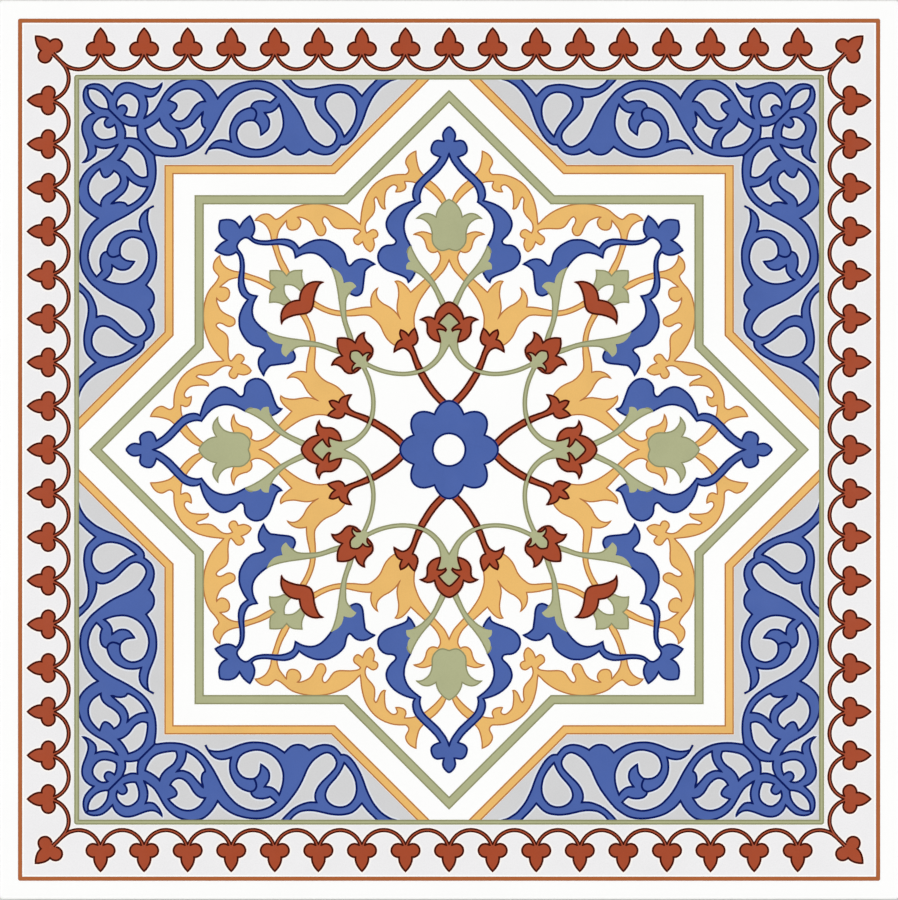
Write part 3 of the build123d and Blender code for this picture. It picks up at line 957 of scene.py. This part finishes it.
def stems(end, last, width, top, core=0.6):
    """The stem that stands on the diagonal of a corner, one scallop, and the corner's arms for either pitch:
    beads along an arc, along the diagonal, and along an arc that goes over into the drawn arm."""
    corner_middles = [pitch * (trefoils_each_way + 0.5) for pitch in trefoil_pitches]
    arm = drawn(corner_arm, closed=False)
    runs = [scallop(0, 180 + end, 360 - end)]
    for middle in corner_middles:
        runs.append(np.concatenate([scallop(middle, 180 + end, corner_scallop_end), arm]))
    stem, *arms = [bead(run, width, top, closed=False, core=core) for run in runs]
    upright = np.linspace(corner_stem_start, last, upright_points) * (1 + 1j)
    return bead(upright, width + upright_swell, top + upright_lift, closed=False, core=core), stem, arms


trefoil_edge = drawn(mirrored(trefoil_half, on_axis))
trefoil_side = drawn(trefoil_half[:3], closed=False)
trefoil_run = np.concatenate([-trefoil_side[:0:-1].conj(), trefoil_side])
to_corner = np.exp(-0.25j * np.pi)
corner_trefoil_edge = (trefoil_edge + 1j * corner_reach) * to_corner
corner_trefoil_run = (trefoil_run + 1j * corner_reach) * to_corner
trefoil_edges = (trefoil_edge, corner_trefoil_edge)
trefoil_runs = (trefoil_run, corner_trefoil_run)

white_rim = enamel("scraped_white_rim", white_rim_tint, pale_grey_tint, ground_gloss, thin=0.99, thick=1.0)
rim_line, corner_rim_line = [bead(edge, trefoil_rim_width, rim_top) for edge in trefoil_edges]
upright_rim, stem_rim, arm_rims = stems(stem_end, corner_stem_end, stem_rim_width, rim_top)
rims = border(rim_line, [corner_rim_line, upright_rim], stem_rim, arm_rims)
piece("trefoil_rims", rims, white_rim)
trefoil_fill, corner_fill = [plate([edge], *trefoil_lay) for edge in trefoil_edges]
piece("trefoils", border(trefoil_fill, [corner_fill], None, None), red)
dark_beads = [bead(run, trefoil_line_width, trefoil_line, closed=False) for run in trefoil_runs]
dark_upright, dark_stem, dark_arms = stems(stem_end, corner_stem_end, stem_width, stem_top, stem_core)
dark_lines = border(dark_beads[0], [dark_beads[1], dark_upright], dark_stem, dark_arms)
piece("trefoil_lines", dark_lines, umber)
red_upright, red_stem_core, red_arms = stems(core_end, corner_core_end, stem_core_width, stem_core_top)
piece("scallop_stems", border(None, [red_upright], red_stem_core, red_arms), red)

# A plain pale floor for the tile to lie on, two soft lamps at either side as for copying flat work,
# and a camera straight above that takes in the flat of the face.
floor_tint = (214, 213, 211)
floor_half, floor_cells = 2.5, 20
floor_patch, floor_roughness = 0.25, 0.8
floor_drop = 0.00005  # the floor lies just clear of the ribs, so that neither shows through the other
camera_lens, camera_sensor = 100.0, 36.0
camera_offset = (-0.1, -0.3)  # in steps, from the middle of the drawing
lamp_reach, lamp_height, lamp_size, lamp_power = 1.5, 1.6, 1.2, 22.3
sky_top, sky_side = 0.25, 0.75
sky_low, sky_high = 0.1, 0.9  # the light changes between these heights: 0 is level and 1 overhead

floor_ticks = np.linspace(-floor_half, floor_half, floor_cells + 1)
u, v = np.meshgrid(floor_ticks, floor_ticks)
floor_points = np.stack([u.ravel(), v.ravel(), np.full(u.size, -floor_drop)], axis=1)
cell = (np.arange(floor_cells)[:, None] * (floor_cells + 1) + np.arange(floor_cells)).ravel()
floor_faces = np.stack([cell, cell + 1, cell + floor_cells + 2, cell + floor_cells + 1], axis=1)
floor_mesh = bpy.data.meshes.new("floor")
floor_mesh.from_pydata(floor_points.tolist(), [], floor_faces.tolist())
floor_finish, tree, shader, place = finish_nodes("pale_floor")
floor_shades = [(0.3, pigment(floor_tint, 0.97)), (0.7, pigment(floor_tint))]
tree.links.new(shades(tree, noise(tree, place, floor_patch), floor_shades), shader.inputs["Base Color"])
shader.inputs["Roughness"].default_value = floor_roughness
floor_mesh.materials.append(floor_finish)
floor = bpy.data.objects.new("floor", floor_mesh)
bpy.context.scene.collection.objects.link(floor)

for side in (-1, 1):
    lamp = bpy.data.lights.new("soft_lamp", "AREA")
    lamp.size = lamp_size
    lamp.energy = lamp_power
    holder = bpy.data.objects.new("soft_lamp", lamp)
    holder.location = (side * lamp_reach, 0, lamp_height)
    holder.rotation_euler = (0, side * np.arctan2(lamp_reach, lamp_height - face_height), 0)
    bpy.context.scene.collection.objects.link(holder)

world = bpy.data.worlds.new("studio")
bpy.context.scene.world = world
world.use_nodes = True
sky = world.node_tree
direction = sky.nodes.new("ShaderNodeTexCoord").outputs["Generated"]
split = sky.nodes.new("ShaderNodeSeparateXYZ")
sky.links.new(direction, split.inputs["Vector"])
level = spread(sky, split.outputs["Z"], sky_side, sky_top, sky_low, sky_high)
sky.links.new(level, sky.nodes["Background"].inputs["Strength"])
sky.nodes["Background"].inputs["Color"].default_value = (1, 1, 1, 1)

camera = bpy.data.cameras.new("camera")
camera.lens = camera_lens
camera.sensor_width = camera_sensor
stand = bpy.data.objects.new("camera", camera)
camera_height = steps_across * step * camera_lens / camera_sensor
stand.location = (camera_offset[0] * step, camera_offset[1] * step, face_height + camera_height)
bpy.context.scene.collection.objects.link(stand)
bpy.context.scene.camera = stand
bpy.context.scene.view_settings.view_transform = "Standard"
